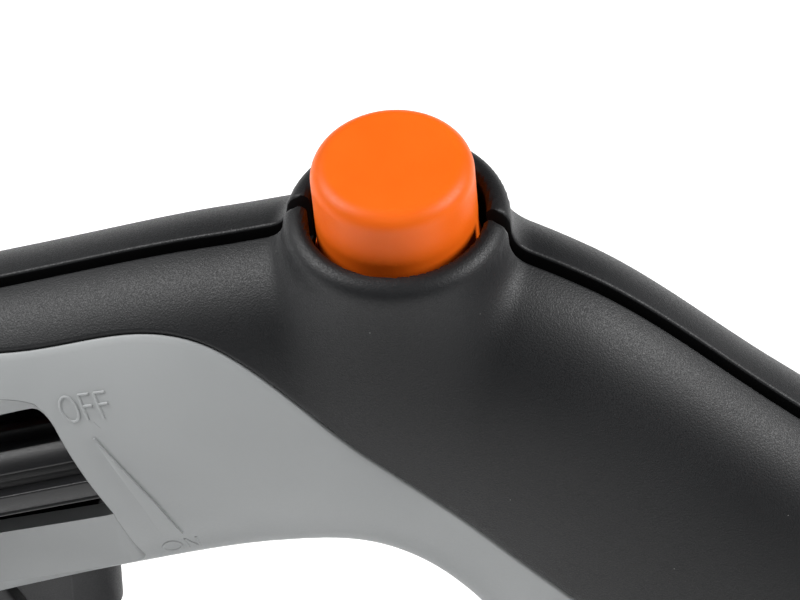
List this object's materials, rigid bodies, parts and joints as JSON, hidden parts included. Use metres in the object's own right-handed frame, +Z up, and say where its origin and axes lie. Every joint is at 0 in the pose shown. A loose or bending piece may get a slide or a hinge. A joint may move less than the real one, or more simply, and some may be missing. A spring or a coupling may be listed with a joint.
{
  "type": "hedge trimmer",
  "caption": "Cordless hedge trimmer with looped rear handle, thumb lock button, finger roller, trigger, slide-off battery, front bail handle and twin reciprocating blades.",
  "frame": {"origin": "middle of the bounding box in x and y, on the plane the tool rests on", "axes": "+X towards the blade tip, +Y to the user's left, +Z up"},
  "size_m": [0.96, 0.184, 0.2139],
  "materials": {
    "black_shell": "fine grain",
    "grey_panel": "satin",
    "orange_plastic": "satin",
    "spring_steel": "drawn wire",
    "switch_plastic": "moulded",
    "roller_black": "semi-gloss",
    "bright_steel": "zinc plated",
    "board_green": "solder mask",
    "trigger_grey": "fine grain",
    "cable_red": "insulation",
    "dark_plastic": "fine grain",
    "contact_brass": "plated",
    "cell_wrap": "shrink wrap",
    "motor_steel": "plated",
    "motor_copper": "lacquered winding",
    "gear_steel": "ground",
    "bush_bronze": "sintered",
    "blade_steel": "ground",
    "bar_steel": "rolled",
    "case_aluminium": "die cast",
    "grip_rubber": "ribbed"
  },
  "bodies": {
    "frame": {"housing_right": "black_shell", "housing_left": "black_shell", "grip_panel_right": "grey_panel", "grip_panel_left": "grey_panel", "lock_spring": "spring_steel", "lock_switch": "switch_plastic", "roller_sensor": "board_green", "trigger_pin": "bright_steel", "trigger_spring": "spring_steel", "main_switch": "switch_plastic", "control_board": "board_green", "cable_harness": "cable_red", "housing_screws": "bright_steel", "battery_foot": "dark_plastic", "foot_contacts": "contact_brass", "motor_can": "motor_steel", "crank_bushes": "bush_bronze", "guide_bar": "bar_steel", "blade_bolts": "bar_steel", "gear_case": "case_aluminium", "base_plate": "dark_plastic", "case_screws": "bright_steel", "hand_guard": "dark_plastic", "guard_screws": "bright_steel", "bail_handle": "black_shell", "bail_grip": "grip_rubber", "bail_bolts": "bright_steel", "switch_bar_pin": "bright_steel", "tip_guard": "dark_plastic", "tip_screw": "bright_steel"},
    "lock_button": {"lock_button": "orange_plastic"},
    "speed_roller": {"speed_roller": "roller_black", "roller_shaft": "bright_steel"},
    "trigger": {"trigger": "trigger_grey"},
    "battery": {"battery_case": "dark_plastic", "battery_cells": "cell_wrap", "battery_contacts": "contact_brass", "latch_spring": "spring_steel"},
    "battery_latch": {"battery_latch": "orange_plastic"},
    "motor_rotor": {"motor_rotor": "motor_copper", "motor_fan": "dark_plastic", "pinion": "gear_steel"},
    "crank": {"big_gear": "gear_steel", "crank_shaft": "gear_steel"},
    "blade_upper": {"blade_upper": "blade_steel"},
    "blade_lower": {"blade_lower": "blade_steel"},
    "switch_bar": {"switch_bar": "orange_plastic"}
  },
  "joints": [
    {"name": "lock_button_press", "type": "slide", "parent": "frame", "child": "lock_button", "axis": [0.0715, 0, -0.9974], "range_m": [0, 0.005], "stiffness_N_per_m": 600, "springref_m": -0.004, "deforming": ["lock_spring"]},
    {"name": "roller_turn", "type": "hinge", "parent": "frame", "child": "speed_roller", "pos_m": [-0.3446, -0.0105, 0.15174], "axis": [0.8988, 0, 0.4384], "range_deg": [0, 60]},
    {"name": "trigger_squeeze", "type": "hinge", "parent": "frame", "child": "trigger", "pos_m": [-0.34776, 0, 0.13039], "axis": [0, 1, 0], "range_deg": [0, 7], "stiffness_Nm_per_rad": 0.8, "springref_deg": -8.59, "deforming": ["trigger_spring"]},
    {"name": "battery_slide", "type": "slide", "parent": "frame", "child": "battery", "axis": [-1, 0, 0], "range_m": [0, 0.09]},
    {"name": "latch_press", "type": "slide", "parent": "battery", "child": "battery_latch", "axis": [0, 0, -1], "range_m": [0, 0.004], "stiffness_N_per_m": 500, "springref_m": -0.002, "deforming": ["latch_spring"]},
    {"name": "crank_turn", "type": "hinge", "parent": "frame", "child": "crank", "pos_m": [-0.08488, 0, 0.044], "axis": [0, 0, 1], "range_deg": [-90, 90]},
    {"name": "rotor_turn", "type": "hinge", "parent": "frame", "child": "motor_rotor", "pos_m": [-0.112, 0, 0.044], "axis": [0, 0, 1], "range_deg": [-450, 450]},
    {"name": "blade_upper_slide", "type": "slide", "parent": "frame", "child": "blade_upper", "axis": [1, 0, 0], "range_m": [-0.005, 0.005]},
    {"name": "blade_lower_slide", "type": "slide", "parent": "frame", "child": "blade_lower", "axis": [1, 0, 0], "range_m": [-0.005, 0.005]},
    {"name": "switch_bar_squeeze", "type": "hinge", "parent": "frame", "child": "switch_bar", "pos_m": [-0.12585, 0, 0.18039], "axis": [0, -1, 0], "range_deg": [0, 11], "stiffness_Nm_per_rad": 0.6, "springref_deg": -8.59}
  ],
  "couplings": [
    {"joint": "rotor_turn", "follows": "crank_turn", "ratio": -5},
    {"joint": "blade_upper_slide", "follows": "crank_turn", "m_per_rad": -0.0031831},
    {"joint": "blade_lower_slide", "follows": "crank_turn", "m_per_rad": 0.0031831}
  ]
}
